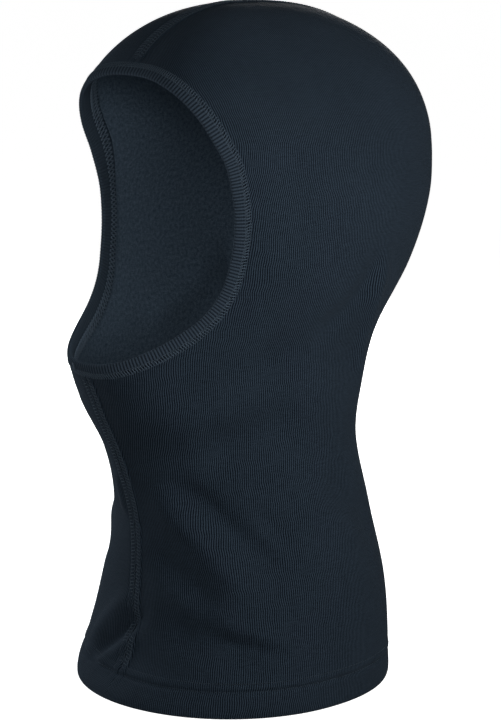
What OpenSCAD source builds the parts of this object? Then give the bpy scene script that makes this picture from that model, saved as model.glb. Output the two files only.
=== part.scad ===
// Balaclava: a close-fitting hood of stretch knit for skiing and snowboarding.
// Two mirrored side panels meet on the centre line: up the front of the neck, over the crown and down the back.
// A doubled strip of rib knit binds the face opening, and the hem is turned up inside.
// Millimetres. The hem stands on Z = 0, the face looks along -Y, and the wearer's left is +X.

/* [Hood] */
// Height from the hem to the crown
hood_height = 388; // [375:1:400]
// Thickness of one layer of the knit
fabric_thickness = 1.1; // [0.9:0.1:1.3]
// Half of the head's width, at the temples
head_half_width = 77; // [74:1:80]
// How far the back of the head lies behind the origin
head_back = 117; // [113:1:121]
// How far the chin lies in front of the origin
chin_front = 117; // [113:1:121]

/* [Neck and hem] */
// Half of the neck's width, halfway down
neck_half_width = 71; // [68:1:75]
// How far the front of the neck lies in front of the origin
neck_front = 84; // [80:1:87]
// How far the back of the neck lies behind the origin
neck_back = 65; // [62:1:69]
// Half of the hem's width
hem_half_width = 90; // [86:1:94]
// How far the front of the hem lies in front of the origin
hem_front = 106; // [100:1:110]
// How far the back of the hem lies behind the origin
hem_back = 74; // [71:1:78]
// Depth of the turned-up hem
hem_depth = 18; // [14:1:20]

/* [Face opening] */
// Half of the opening's width, between the edges of the two panels
opening_half_width = 67; // [63:0.5:68]
// Height of the opening's lowest point, under the chin
opening_bottom = 188.5; // [187:0.5:192]
// Height of the opening's widest part
opening_middle = 292.5; // [286:0.5:298]
// Height of the opening's highest point, on the forehead
opening_top = 355; // [351:1:358]
// How square the opening's outline is, where 2 is an ellipse
opening_squareness = 2.65; // [2.3:0.05:2.9]

/* [Binding] */
// Width of the doubled rib band that shows round the opening
band_width = 6.5; // [5:0.5:8]
// Thickness of the doubled rib band
band_thickness = 2.4; // [2.2:0.1:2.8]
// Width of the band's own seam allowance, under the panels
allowance_width = 5.8; // [5.5:0.1:7]
// Thickness of that seam allowance
allowance_thickness = 1; // [0.8:0.1:1.2]

/* [Stitching] */
// Width of the sewing thread
thread_width = 0.45; // [0.35:0.05:0.5]
// Height of the sewing thread above the cloth
thread_height = 0.35; // [0.25:0.05:0.4]
// Stitch length of the stitching round the face opening
face_stitch = 3.8; // [3.6:0.2:5]
// Stitch length of the flatlock seams and of the hem
seam_stitch = 4.8; // [4.4:0.2:6]
// Half of the width that a flatlock seam covers
flatlock_half_width = 4.6; // [3.6:0.2:5]
// Half of the width that a coverstitch covers
coverstitch_half_width = 2; // [1.6:0.1:2.2]

/* [Care label] */
// Width of the label
label_width = 30; // [22:1:36]
// Length of the label's loose flap
label_length = 42; // [30:1:46]
// Height of the row of stitches that the flap swings on
label_height = 92; // [90:1:100]
// Thickness of the label
label_thickness = 0.4; // [0.3:0.05:0.5]

/* [Hidden] */

knit_color = [0.12, 0.15, 0.18];
rib_color = [0.10, 0.13, 0.16];
thread_color = [0.17, 0.20, 0.24];
label_color = [0.80, 0.80, 0.78];

// The hood's level sections. Each half of a section is a superellipse about its widest point.
// Columns: height, half-width, front, back, Y of the widest point, squareness of the front half.
stretch = hood_height / 388;
levels = [
    [0, hem_half_width, -hem_front, hem_back, -18, 2.0],
    [25 * stretch, hem_half_width - 2, 16 - hem_front, hem_back + 1, -14, 2.3],
    [60 * stretch, neck_half_width + 9, -neck_front, neck_back + 10, -10, 2.3],
    [100 * stretch, neck_half_width, -neck_front, neck_back, -8, 2.0],
    [140 * stretch, neck_half_width - 7, -neck_front - 11, neck_back - 8, -8, 1.9],
    [170 * stretch, neck_half_width - 7, 9 - chin_front, neck_back - 3, -8, 2.3],
    [200 * stretch, neck_half_width - 7, -chin_front, neck_back + 9, -8, 2.1],
    [240 * stretch, head_half_width - 1, 25 - chin_front, head_back - 18, -6, 2.2],
    [280 * stretch, head_half_width, 39 - chin_front, head_back - 1, -2, 3.0],
    [310 * stretch, head_half_width - 5, 22 - chin_front, head_back, 7.5, 3.6]
];
top_level = len(levels) - 1;
back_squareness = 2.15;

// Above the last level the hood closes in a dome.
dome_base = levels[top_level][0];
dome_height = hood_height - dome_base;
dome_arc = 100;
dome_end = dome_base + dome_arc;
dome_lean = -0.25;
dome_side = 1.9;
dome_front = 1.77;
dome_back = 2.5;

seam_gap = 0.1;
binding_gap = 0.55;
layer_gap = 0.5;
needle_lift = 0.32;
cover_lift = needle_lift + thread_height + 0.2;
looper_gap = 0.8;

// The panel's grid of corners, from its front edge to the back seam and from the hem to the crown.
panel_columns = 24;
neck_rows = 17;
rim_rows = 26;
crown_rows = 9;
back_top = dome_base + 35;

function unit(v) = v / norm(v);
function mix(a, b, t) = a + (b - a) * t;
function smooth(t) = t * t * (3 - 2 * t);

function level_slope(i) =
    i == 0 ? (levels[1] - levels[0]) / (levels[1][0] - levels[0][0])
    : i == top_level ? levels[i] * 0
    : (levels[i + 1] - levels[i - 1]) / (levels[i + 1][0] - levels[i - 1][0]);
level_slopes = [for (i = [0 : top_level]) level_slope(i)];

// The columns of `levels` at any height, on a smooth curve through the levels
function level_at(z) =
    let (
        low = min(z, dome_base),
        i = len([for (k = [1 : top_level - 1]) if (levels[k][0] <= low) k]),
        h = levels[i + 1][0] - levels[i][0],
        t = (low - levels[i][0]) / h
    )
    levels[i] * (2 * t ^ 3 - 3 * t ^ 2 + 1) + level_slopes[i] * h * (t ^ 3 - 2 * t ^ 2 + t)
    + levels[i + 1] * (3 * t ^ 2 - 2 * t ^ 3) + level_slopes[i + 1] * h * (t ^ 3 - t ^ 2);

function dome(t, squareness) = max(1 - t ^ squareness, 1e-9) ^ (1 / squareness);

// Half-width, reach to the front, reach to the back, Y of the widest point and front squareness at height z
function section(z) =
    let (
        v = level_at(z),
        rise = max(z - dome_base, 0),
        t = min(rise / dome_height, 1)
    )
    [
        v[1] * dome(t, dome_side), (v[4] - v[2]) * dome(t, dome_front), (v[3] - v[4]) * dome(t, dome_back),
        v[4] + dome_lean * rise, v[5]
    ];

// Height after going `q` up the cloth: the same as Z up to the dome, then even steps round it
function height_at(q) =
    q < dome_base ? q : dome_base + dome_height * sin(min(90 * (q - dome_base) / dome_arc, 90));
function climb_at(z) =
    z < dome_base ? z : dome_base + dome_arc * asin((z - dome_base) / dome_height) / 90;

// The outer surface in direction `turn`, from 0 at the front to 180 at the back, at climb `q`
function skin(turn, q) =
    let (
        z = height_at(q),
        s = section(z),
        front = cos(turn) >= 0,
        reach = front ? s[1] : s[2],
        p = front ? s[4] : back_squareness,
        r = ((abs(sin(turn)) / s[0]) ^ p + (abs(cos(turn)) / reach) ^ p) ^ (-1 / p)
    )
    [r * sin(turn), s[3] - r * cos(turn), z];

function skin_normal(turn, q) =
    q >= dome_end ? [0, 0, 1]
    : unit(cross(skin(turn + 0.5, q) - skin(turn - 0.5, q), skin(turn, q + 0.5) - skin(turn, max(q - 0.5, 0))));

// The outer surface over the point (x, z) of the front, and its normal
function face_skin(x, z) =
    let (s = section(z))
    [x, s[3] - s[1] * (1 - (abs(x) / s[0]) ^ s[4]) ^ (1 / s[4]), z];
function face_normal(x, z) =
    unit(cross(face_skin(x + 0.5, z) - face_skin(x - 0.5, z), face_skin(x, z + 0.5) - face_skin(x, z - 0.5)));

// The panels' edge round the face opening. The angle runs from the chin, past the wearer's left, over the top.
function rim_xz(angle) =
    let (
        half_height = cos(angle) > 0 ? opening_middle - opening_bottom : opening_top - opening_middle,
        e = opening_squareness,
        r = ((abs(sin(angle)) / opening_half_width) ^ e + (abs(cos(angle)) / half_height) ^ e) ^ (-1 / e)
    )
    [r * sin(angle), opening_middle - r * cos(angle)];
function rim_point(angle) = let (p = rim_xz(angle)) face_skin(p[0], p[1]);
function rim_normal(angle) = let (p = rim_xz(angle)) face_normal(p[0], p[1]);
function rim_inward(angle) = unit(cross(rim_normal(angle), rim_point(angle + 0.5) - rim_point(angle - 0.5)));

// A place beside the rim: `inward` along the cloth towards the opening, `lift` off its outer face
function beside_rim(angle, inward, lift) =
    let (
        start = rim_point(angle),
        across = rim_inward(angle),
        x = start[0] + across[0] * min(inward, 0),
        z = start[2] + across[2] * min(inward, 0)
    )
    face_skin(x, z) + across * max(inward, 0) + face_normal(x, z) * lift;

// Direction in which a rim point lies from the widest point of its section
function rim_turn(angle) = let (p = rim_point(angle)) atan2(p[0], section(p[2])[3] - p[1]);

// Each row of the panel's grid: direction of its front end, climb at its front end, climb at its back end
hem_rows = [for (z = [0, 0.8, 9, hem_depth - 0.3, hem_depth + 0.3]) [0, z, z]];
neck_panel_rows = [
    for (i = [1 : neck_rows])
        let (z = mix(hem_depth + 0.3, opening_bottom, i / neck_rows))
            [0, z, z]
];
rim_panel_rows = [
    for (i = [1 : rim_rows])
        let (angle = 180 * i / rim_rows)
            [
                i == rim_rows ? 0 : rim_turn(angle), climb_at(rim_xz(angle)[1]),
                mix(opening_bottom, back_top, i / rim_rows)
            ]
];
crown_panel_rows = [
    for (i = [1 : crown_rows])
        let (t = i / (crown_rows + 1))
            [0, mix(climb_at(opening_top), dome_end, t), mix(back_top, dome_end, t)]
];
panel_rows = concat(hem_rows, neck_panel_rows, rim_panel_rows, crown_panel_rows);
row_count = len(panel_rows);

// Columns crowd a little towards both edges of the panel.
column_places = [
    for (k = [0 : panel_columns]) mix(k / panel_columns, (1 - cos(180 * k / panel_columns)) / 2, 0.7)
];

function hem_layers(row) = row < 4 ? 2 : 1;
function outer_depth(row) = row == 0 ? 0.4 : 0;
function inner_depth(row) = fabric_thickness * hem_layers(row) - outer_depth(row);

// A corner of the panel's grid, `depth` below the outer face. At the hem's fold it is level with the outer face,
// so that nothing reaches below Z = 0.
function panel_corner(row, k, depth) =
    let (
        r = panel_rows[row],
        t = column_places[k],
        turn = mix(r[0], 180, t),
        q = mix(r[1], r[2], smooth(t)),
        n = skin_normal(turn, q),
        inward = row <= 1 ? unit([n[0], n[1], 0]) : n
    )
    skin(turn, q) - inward * depth;

crown_point = skin(0, dome_end);
panel_points = concat(
    [for (row = [0 : row_count - 1], k = [0 : panel_columns]) panel_corner(row, k, outer_depth(row))],
    [for (row = [0 : row_count - 1], k = [0 : panel_columns]) panel_corner(row, k, inner_depth(row))],
    [[0, crown_point[1], hood_height], [0, crown_point[1], hood_height - fabric_thickness]]
);

outer_crown = 2 * row_count * (panel_columns + 1);
inner_crown = outer_crown + 1;
function outer_at(row, k) = row == row_count ? outer_crown : row * (panel_columns + 1) + k;
function inner_at(row, k) = row == row_count ? inner_crown : (row_count + row) * (panel_columns + 1) + k;

// Two triangles for a four-cornered cell, split on its shorter diagonal, or one where two corners are the same
function diagonal(a, b) = norm(panel_points[a] - panel_points[b]);
function cell(a, b, c, d) =
    b == c ? [[a, c, d]]
    : c == d ? [[a, b, c]]
    : diagonal(a, c) <= diagonal(b, d) ? [[a, b, c], [a, c, d]]
    : [[a, b, d], [b, c, d]];

panel_faces = [
    for (row = [0 : row_count - 1], k = [0 : panel_columns - 1])
        each cell(outer_at(row, k), outer_at(row + 1, k), outer_at(row + 1, k + 1), outer_at(row, k + 1)),
    for (row = [0 : row_count - 1], k = [0 : panel_columns - 1])
        each cell(inner_at(row, k), inner_at(row, k + 1), inner_at(row + 1, k + 1), inner_at(row + 1, k)),
    for (row = [0 : row_count - 1])
        each cell(outer_at(row, 0), inner_at(row, 0), inner_at(row + 1, 0), outer_at(row + 1, 0)),
    for (row = [0 : row_count - 1])
        each cell(
            outer_at(row, panel_columns), outer_at(row + 1, panel_columns),
            inner_at(row + 1, panel_columns), inner_at(row, panel_columns)
        ),
    for (k = [0 : panel_columns - 1])
        each cell(outer_at(0, k), outer_at(0, k + 1), inner_at(0, k + 1), inner_at(0, k))
];

module side_panel() {
    color(knit_color)
        translate([seam_gap / 2, 0, 0])
            polyhedron(points = panel_points, faces = panel_faces, convexity = 8);
}

module left_side_panel() {
    side_panel();
}

module right_side_panel() {
    mirror([1, 0, 0])
        side_panel();
}

// Joins rings of corners into one tube. A closed tube runs back into its first ring.
module tube(rings, closed) {
    sides = len(rings[0]);
    count = len(rings);
    spans = closed ? count : count - 1;
    corners = [for (ring = rings) each ring];
    walls = [
        for (i = [0 : spans - 1], j = [0 : sides - 1])
            let (
                next_ring = (i + 1) % count,
                next_side = (j + 1) % sides
            )
            each [
                [i * sides + j, next_ring * sides + j, next_ring * sides + next_side],
                [i * sides + j, next_ring * sides + next_side, i * sides + next_side]
            ]
    ];
    ends = closed ? [] : [
        [for (j = [0 : sides - 1]) j],
        [for (j = [sides - 1 : -1 : 0]) (count - 1) * sides + j]
    ];
    polyhedron(points = corners, faces = concat(walls, ends), convexity = 8);
}

// Section of the binding: the rounded double band, then the allowance under the panels.
// Each corner is [inward from the panels' edge, lift off the outer face].
allowance_top = -fabric_thickness - layer_gap;
allowance_bottom = allowance_top - allowance_thickness;
binding_section = [
    [binding_gap, 0.3],
    [1.3, band_thickness / 4],
    [band_width - 1.4, band_thickness / 4],
    [band_width - 0.3, 0],
    [band_width, -band_thickness / 4],
    [band_width - 0.4, -band_thickness / 2],
    [band_width - 1.6, -band_thickness * 3 / 4],
    [0.8, allowance_bottom],
    [-allowance_width, allowance_bottom],
    [-allowance_width, allowance_top],
    [binding_gap, allowance_top]
];

module face_binding() {
    color(rib_color)
        tube([
            for (i = [0 : 2 * rim_rows - 1])
                [for (c = binding_section) beside_rim(180 * i / rim_rows, c[0], c[1])]
        ], true);
}

// A seam's path is a list of frames: [point on the cloth, outward normal, direction across the seam,
// [how far the cloth falls away 5 mm to the side, 0, 0]].
function frame_lengths(path) = [
    for (i = 0, s = 0; i < len(path); s = s + (i < len(path) - 1 ? norm(path[i + 1][0] - path[i][0]) : 0), i = i + 1) s
];
function frame_at(path, lengths, s) =
    let (
        i = min(len([for (l = lengths) if (l <= s) l]), len(path) - 1) - 1,
        t = (s - lengths[i]) / (lengths[i + 1] - lengths[i])
    )
    path[i] + (path[i + 1] - path[i]) * t;

// Even steps of about `step` along a path. A closed path drops its last frame and keeps an even count.
function steps_along(path, step, closed) =
    let (
        lengths = frame_lengths(path),
        total = lengths[len(path) - 1],
        count = 2 * round(total / step / 2)
    )
    [for (k = [0 : closed ? count - 1 : count]) frame_at(path, lengths, total * k / count)];

// A thread is a low ridge over a line of points, mitred at its corners; `side` is 1 outside and -1 inside.
module thread(points, normals, closed, side = 1) {
    last = len(points) - 1;
    rings = [
        for (k = [0 : last])
            let (
                before = k > 0 ? points[k - 1] : closed ? points[last] : 2 * points[0] - points[1],
                after = k < last ? points[k + 1] : closed ? points[0] : 2 * points[last] - points[last - 1],
                n = unit(normals[k]) * side,
                a = unit(cross(n, points[k] - before)),
                b = unit(cross(n, after - points[k])),
                mitre = (a + b) / max(1 + a * b, 0.12)
            )
            [
                points[k] + mitre * thread_width / 2,
                points[k] - mitre * thread_width / 2,
                points[k] + n * thread_height
            ]
    ];
    color(thread_color)
        tube(rings, closed);
}

function beside_seam(frame, across, lift) =
    frame[0] + frame[2] * across + frame[1] * (lift - frame[3][0] * (across / 5) ^ 2);

// A straight row of stitches, `across` the seam's middle line and `lift` off the cloth
module stitch_row(path, step, closed, across, lift) {
    frames = steps_along(path, step, closed);
    thread([for (f = frames) beside_seam(f, across, lift)], [for (f = frames) f[1]], closed);
}

// A thread that zigzags over the seam: outside at a positive lift, inside at a negative one
module zigzag(path, stitch, closed, half_width, lift) {
    frames = steps_along(path, stitch / 2, closed);
    thread(
        [
            for (k = [0 : len(frames) - 1]) beside_seam(frames[k], half_width * (k % 2 == 0 ? 1 : -1), lift)
        ],
        [for (f = frames) f[1]], closed, sign(lift)
    );
}

// Stitching round the face opening. Outside it straddles the join of panels and band, from one needle row to the
// other. Inside it covers the seam allowance.
join_seam = [for (angle = [0 : 4 : 360]) [rim_point(angle), rim_normal(angle), rim_inward(angle), [0, 0, 0]]];
band_rise = band_thickness / 4;
needle_reach = 1.4;
face_seam = [
    for (angle = [0 : 4 : 360])
        let (
            inward = -coverstitch_half_width - 0.7,
            across = rim_inward(angle)
        )
        [
            beside_rim(angle, inward, 0), unit(beside_rim(angle, inward, 1) - beside_rim(angle, inward, 0)),
            across, [0, 0, 0]
        ]
];

module face_inner_needle_thread() {
    stitch_row(join_seam, 6, true, needle_reach, band_rise + needle_lift);
}

module face_outer_needle_thread() {
    stitch_row(join_seam, 6, true, -needle_reach, needle_lift);
}

module face_cover_thread() {
    frames = steps_along(join_seam, face_stitch / 2, true);
    thread(
        [
            for (k = [0 : len(frames) - 1])
                k % 2 == 0 ? beside_seam(frames[k], coverstitch_half_width, band_rise + cover_lift)
                : beside_seam(frames[k], -coverstitch_half_width, cover_lift)
        ],
        [for (f = frames) f[1]], true
    );
}

module face_looper_thread() {
    zigzag(face_seam, face_stitch, true, coverstitch_half_width, allowance_bottom - looper_gap);
}

// Bartack over the lap of the binding's ends, beside the chin
module binding_bartack() {
    bar_angle = -5;
    steps = 14;
    thread(
        [
            for (k = [0 : steps])
                beside_rim(
                    bar_angle + (k % 2 == 0 ? 0.5 : -0.5), mix(1.6, band_width - 1.6, k / steps),
                    band_thickness / 4 + needle_lift
                )
        ],
        [for (k = [0 : steps]) rim_normal(bar_angle)], false
    );
}

// Middle line of a centre seam, on the front (turn 0) or the back (turn 180), between two climbs
function centre_fall(turn, q, normal) =
    let (reach = section(height_at(q))[turn == 0 ? 1 : 2])
        reach < 20 ? 0.2 : (skin(turn, q) - skin(turn + atan(5 / reach), q)) * normal;
function centre_line(turn, from, to, count) = [
    for (i = [0 : count])
        let (
            q = min(mix(from, to, i / count), dome_end - 0.01),
            n = skin_normal(turn, q),
            normal = unit([0, n[1], n[2]])
        )
        [skin(turn, q), normal, [1, 0, 0], [centre_fall(turn, q, normal), 0, 0]]
];
seam_margin = coverstitch_half_width * 2 + 2.2;
needle_spread = flatlock_half_width * 0.6;
crown_seam = concat(
    centre_line(0, climb_at(opening_top) + seam_margin, dome_end, 14),
    centre_line(180, dome_end - 0.5, hem_depth + 3, 60)
);
front_seam = centre_line(0, hem_depth + 3, opening_bottom - seam_margin, 30);

module crown_left_needle_thread() {
    stitch_row(crown_seam, 7, false, needle_spread, needle_lift);
}

module crown_right_needle_thread() {
    stitch_row(crown_seam, 7, false, -needle_spread, needle_lift);
}

module crown_cover_thread() {
    zigzag(crown_seam, seam_stitch, false, flatlock_half_width, cover_lift);
}

module crown_looper_thread() {
    zigzag(crown_seam, seam_stitch, false, flatlock_half_width, -fabric_thickness - looper_gap);
}

module front_left_needle_thread() {
    stitch_row(front_seam, 6, false, needle_spread, needle_lift);
}

module front_right_needle_thread() {
    stitch_row(front_seam, 6, false, -needle_spread, needle_lift);
}

module front_cover_thread() {
    zigzag(front_seam, seam_stitch, false, flatlock_half_width, cover_lift);
}

module front_looper_thread() {
    zigzag(front_seam, seam_stitch, false, flatlock_half_width, -fabric_thickness - looper_gap);
}

// Coverstitch round the hem, just below the raw edge of the turn-up
hem_seam_height = hem_depth - coverstitch_half_width - 0.7;
hem_seam = [
    for (turn = [0 : 5 : 360])
        let (n = skin_normal(turn, hem_seam_height))
        [
            skin(turn, hem_seam_height), n,
            unit(cross(n, skin(turn + 1, hem_seam_height) - skin(turn - 1, hem_seam_height))), [0, 0, 0]
        ]
];

module hem_upper_needle_thread() {
    stitch_row(hem_seam, 8, true, 1.6, needle_lift);
}

module hem_lower_needle_thread() {
    stitch_row(hem_seam, 8, true, -1.6, needle_lift);
}

module hem_looper_thread() {
    zigzag(hem_seam, seam_stitch, true, coverstitch_half_width, -2 * fabric_thickness - looper_gap);
}

// Care label inside the back of the neck: a fixed top strip, and a flap that folds up over its front
label_anchor_height = 4;
label_back = skin(180, label_height + label_anchor_height + 1)[1] - fabric_thickness - 2.4;
label_fold_gap = 0.06;
label_fold = label_back - 1.5 * label_thickness - label_fold_gap;

module care_label_anchor() {
    color(label_color)
        translate([-label_width / 2, label_back - label_thickness, label_height])
            cube([label_width, label_thickness, label_anchor_height]);
}

module care_label() {
    color(label_color)
        translate([-label_width / 2, label_fold, label_height]) {
            rotate([0, 90, 0])
                cylinder(d = label_thickness, h = label_width, $fn = 48);
            translate([0, -label_thickness / 2, -label_length])
                cube([label_width, label_thickness, label_length]);
        }
}

// A row of short stitches across the label's fixed strip
module care_label_stitching() {
    stitches = 11;
    pitch = (label_width - 3) / stitches;
    color(thread_color)
        for (i = [0 : stitches - 1])
            translate([
                -label_width / 2 + 1.5 + pitch * (i + 0.15), label_back - label_thickness - 0.05 - thread_height,
                label_height + label_anchor_height / 2
            ])
                cube([pitch * 0.7, thread_height, thread_height]);
}

left_side_panel();
right_side_panel();
face_binding();
binding_bartack();
face_inner_needle_thread();
face_outer_needle_thread();
face_cover_thread();
face_looper_thread();
crown_left_needle_thread();
crown_right_needle_thread();
crown_cover_thread();
crown_looper_thread();
front_left_needle_thread();
front_right_needle_thread();
front_cover_thread();
front_looper_thread();
hem_upper_needle_thread();
hem_lower_needle_thread();
hem_looper_thread();
care_label_anchor();
care_label();
care_label_stitching();
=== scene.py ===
"""The balaclava's looks on its CAD frame: knit panels, rib binding, stitching, care label, studio and camera.

Shapes are worked out in millimetres, in the CAD's axes, and become metres when a mesh is made.
"""

import math

import bpy
import numpy as np
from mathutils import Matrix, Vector


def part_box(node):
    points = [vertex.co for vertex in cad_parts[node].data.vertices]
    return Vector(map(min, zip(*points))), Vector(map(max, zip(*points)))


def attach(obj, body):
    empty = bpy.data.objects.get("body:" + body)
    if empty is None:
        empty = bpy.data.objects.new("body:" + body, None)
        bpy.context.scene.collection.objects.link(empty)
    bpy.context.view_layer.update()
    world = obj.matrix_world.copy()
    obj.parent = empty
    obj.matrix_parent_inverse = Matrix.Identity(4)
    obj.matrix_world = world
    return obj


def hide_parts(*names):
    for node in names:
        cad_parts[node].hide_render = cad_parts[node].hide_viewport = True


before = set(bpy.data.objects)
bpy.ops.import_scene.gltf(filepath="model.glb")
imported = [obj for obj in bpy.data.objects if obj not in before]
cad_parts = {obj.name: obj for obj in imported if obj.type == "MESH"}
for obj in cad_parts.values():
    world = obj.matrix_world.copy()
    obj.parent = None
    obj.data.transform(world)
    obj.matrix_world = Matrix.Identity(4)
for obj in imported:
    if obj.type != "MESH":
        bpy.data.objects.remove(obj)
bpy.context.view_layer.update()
MM = 0.001

# ---------------------------------------- sizes, the same as the CAD's

HOOD_HEIGHT = 388.0
FABRIC = 1.1
HEM_DEPTH = 18.0
BACK_SQUARENESS = 2.15
DOME_ARC = 100.0
DOME_LEAN = -0.25
DOME_SIDE, DOME_FRONT, DOME_BACK = 1.9, 1.77, 2.5

# height, half-width, front, back, Y of the widest point, squareness of the front half
LEVELS = np.array([
    (0, 90, -106, 74, -18, 2.0),
    (25, 88, -90, 75, -14, 2.3),
    (60, 80, -84, 75, -10, 2.3),
    (100, 71, -84, 65, -8, 2.0),
    (140, 64, -95, 57, -8, 1.9),
    (170, 64, -108, 62, -8, 2.3),
    (200, 64, -117, 74, -8, 2.1),
    (240, 76, -92, 99, -6, 2.2),
    (280, 77, -78, 116, -2, 3.0),
    (310, 72, -95, 117, 7.5, 3.6),
], dtype=float)
DOME_BASE = LEVELS[-1, 0]
DOME_HEIGHT = HOOD_HEIGHT - DOME_BASE
DOME_END = DOME_BASE + DOME_ARC
BACK_TOP = DOME_BASE + 35
# The section is averaged over these steps where the brow meets the dome.
BROW_STEPS = (-10, -5, 0, 5, 10)
BROW_DROP, BROW_WIDTH = 10, 26
# Slopes are taken between places this far to each side.
NUDGE = 0.4

OPENING_HALF_WIDTH = 67.0
OPENING_BOTTOM, OPENING_MIDDLE, OPENING_TOP = 188.5, 292.5, 355.0
OPENING_SQUARENESS = 2.65
BAND_WIDTH = 6.5
BAND_THICKNESS = 2.4

FLATLOCK_HALF = 4.6
COVERSTITCH_HALF = 2.0
HEM_SEAM = HEM_DEPTH - COVERSTITCH_HALF - 0.7

# ---------------------------------------- sizes of the visible detail

ROW_STEP = 1.7
HEM_ROW_STEP = 0.6
PANEL_COLUMNS = 150
EVEN_COLUMNS = 0.12
WALE_PITCH = 1.25
COURSE_PITCH = 0.9
RIB_PITCH = 1.9
RIB_STEPS = 8
RIB_HEIGHT = 0.2
# The ribs are wider at the top of the opening: by how much, round which angle, over what angle.
RIB_SPREAD, RIB_SPREAD_AT, RIB_SPREAD_OVER = 0.35, 185, 42
FACE_STITCH, SEAM_STITCH, HEM_STITCH, LOOPER_STITCH = 1.6, 2.0, 2.3, 2.6
THREAD_RADIUS = 0.19
THREAD_SIDES = 6
THREAD_TWIST = 0.7
LABEL_STITCHES = 11
# The hem's needle rows lie this far above and below its seam. The hem is this much deeper at the sides.
HEM_REACH = 2.3
HEM_RISE = 2.6
# The looper braid under the face coverstitch, and the binding's allowance that it covers.
LOOPER_HALF = 3.7
ALLOWANCE = 2 * LOOPER_HALF + 0.4
# Each panel stops this far from the middle, and the centre seams' stitches this far from the rim.
SEAM_GAP = 0.0004
SEAM_START = 2.6
# The thread lies this much lower at this distance from a centre seam.
SEAM_FALL, SEAM_FALL_AT = 0.14, 5

# ---------------------------------------- the studio, in metres

VIEW_AZIMUTH, VIEW_ELEVATION = math.radians(52), math.radians(10.96)
VIEW_DISTANCE, VIEW_HEIGHT = 1.352, 0.416
VIEW_MIDDLE = Vector((0.0034, -0.004, 0.1825))
VIEW_LIMIT = 60
SENSOR_HEIGHT = 24
LIT_PLACE = Vector((0, 0, 0.2))
FILL_LIGHT, TOP_FILL = 0.2, 0.3
FLOOR_GLOW = 0.9
FLOOR_HALF = 20
FLOOR_DROP = 0.0003
WHITE = (1, 1, 1)
# name, place, size, power and colour
LIGHTS = [
    ("head_light", (0.40, 0.04, 0.30), 0.25, 0.9, WHITE),
    ("side_light", (0.86, -0.28, 0.42), 0.5, 2.3, WHITE),
    ("face_light", (0.78, -0.90, 0.58), 0.5, 3.3, WHITE),
    ("right_light", (-0.68, -0.22, 0.22), 0.4, 2.6, (0.72, 0.86, 1.0)),
    ("back_light", (-0.92, 0.82, 0.48), 0.5, 13.0, WHITE),
]


# ---------------------------------------- the hood's surface

def smooth(low, high, value):
    t = np.clip((value - low) / (high - low), 0, 1)
    return t * t * (3 - 2 * t)


def bell(distance, width):
    return np.exp(-(distance / width) ** 2)


def level_slopes():
    """How fast each column changes at each level. The brow runs on into the dome without a step."""
    slopes = np.zeros_like(LEVELS)
    heights = LEVELS[:, 0]
    slopes[0] = (LEVELS[1] - LEVELS[0]) / (heights[1] - heights[0])
    slopes[1:-1] = (LEVELS[2:] - LEVELS[:-2]) / (heights[2:] - heights[:-2])[:, None]
    front, middle, squareness = 2, 4, 5
    slopes[-2, [front, middle, squareness]] = 0.35, 0.13, 0.04
    slopes[-1, [front, middle, squareness]] = -0.8, 0.0, -0.01
    return slopes


LEVEL_SLOPES = level_slopes()


def level_at(z):
    """The columns of LEVELS at heights z, on a smooth curve through the levels."""
    low = np.clip(z, 0, DOME_BASE)
    i = np.clip(np.searchsorted(LEVELS[:, 0], low, side="right") - 1, 0, len(LEVELS) - 2)
    h = (LEVELS[i + 1, 0] - LEVELS[i, 0])[..., None]
    t = (low - LEVELS[i, 0])[..., None] / h
    return (
        LEVELS[i] * (2 * t**3 - 3 * t**2 + 1)
        + LEVEL_SLOPES[i] * h * (t**3 - 2 * t**2 + t)
        + LEVELS[i + 1] * (3 * t**2 - 2 * t**3)
        + LEVEL_SLOPES[i + 1] * h * (t**3 - t**2)
    )


def dome(t, squareness):
    return np.maximum(1 - t**squareness, 1e-9) ** (1 / squareness)


def section(z):
    """The section at heights z, eased where the dome starts."""
    z = np.asarray(z, float)
    share = bell(z - DOME_BASE + BROW_DROP, BROW_WIDTH)
    near = [sharp_section(z + step) for step in BROW_STEPS]
    plain = near[len(near) // 2]
    return tuple(one + share * (sum(values) / len(near) - one) for one, values in zip(plain, zip(*near)))


def sharp_section(z):
    """Half-width, front and back reach, Y of the widest point and front squareness at heights z."""
    v = level_at(z)
    rise = np.maximum(z - DOME_BASE, 0)
    t = np.minimum(rise / DOME_HEIGHT, 1)
    return (
        v[..., 1] * dome(t, DOME_SIDE),
        (v[..., 4] - v[..., 2]) * dome(t, DOME_FRONT),
        (v[..., 3] - v[..., 4]) * dome(t, DOME_BACK),
        v[..., 4] + DOME_LEAN * rise,
        v[..., 5],
    )


def height_at(climb):
    """Height after going `climb` up the cloth: Z itself up to the dome, then even steps round it."""
    angle = np.clip(90 * (climb - DOME_BASE) / DOME_ARC, 0, 90)
    return np.where(climb < DOME_BASE, climb, DOME_BASE + DOME_HEIGHT * np.sin(np.radians(angle)))


def climb_at(z):
    share = np.clip((z - DOME_BASE) / DOME_HEIGHT, 0, 1)
    return np.where(z < DOME_BASE, z, DOME_BASE + DOME_ARC * np.degrees(np.arcsin(share)) / 90)


def skin(turn, climb):
    """The outer surface in direction `turn`, 0 at the front, 90 at the wearer's left, 180 at the back."""
    turn, climb = np.broadcast_arrays(np.asarray(turn, float), np.asarray(climb, float))
    z = height_at(climb)
    half_width, front, back, middle, squareness = section(z)
    s, c = np.sin(np.radians(turn)), np.cos(np.radians(turn))
    ahead = c >= 0
    reach = np.where(ahead, front, back)
    p = np.where(ahead, squareness, BACK_SQUARENESS)
    r = ((np.abs(s) / half_width) ** p + (np.abs(c) / reach) ** p) ** (-1 / p)
    return np.stack([r * s, middle - r * c, z], -1)


def unit(v):
    return v / np.maximum(np.linalg.norm(v, axis=-1, keepdims=True), 1e-12)


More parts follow.
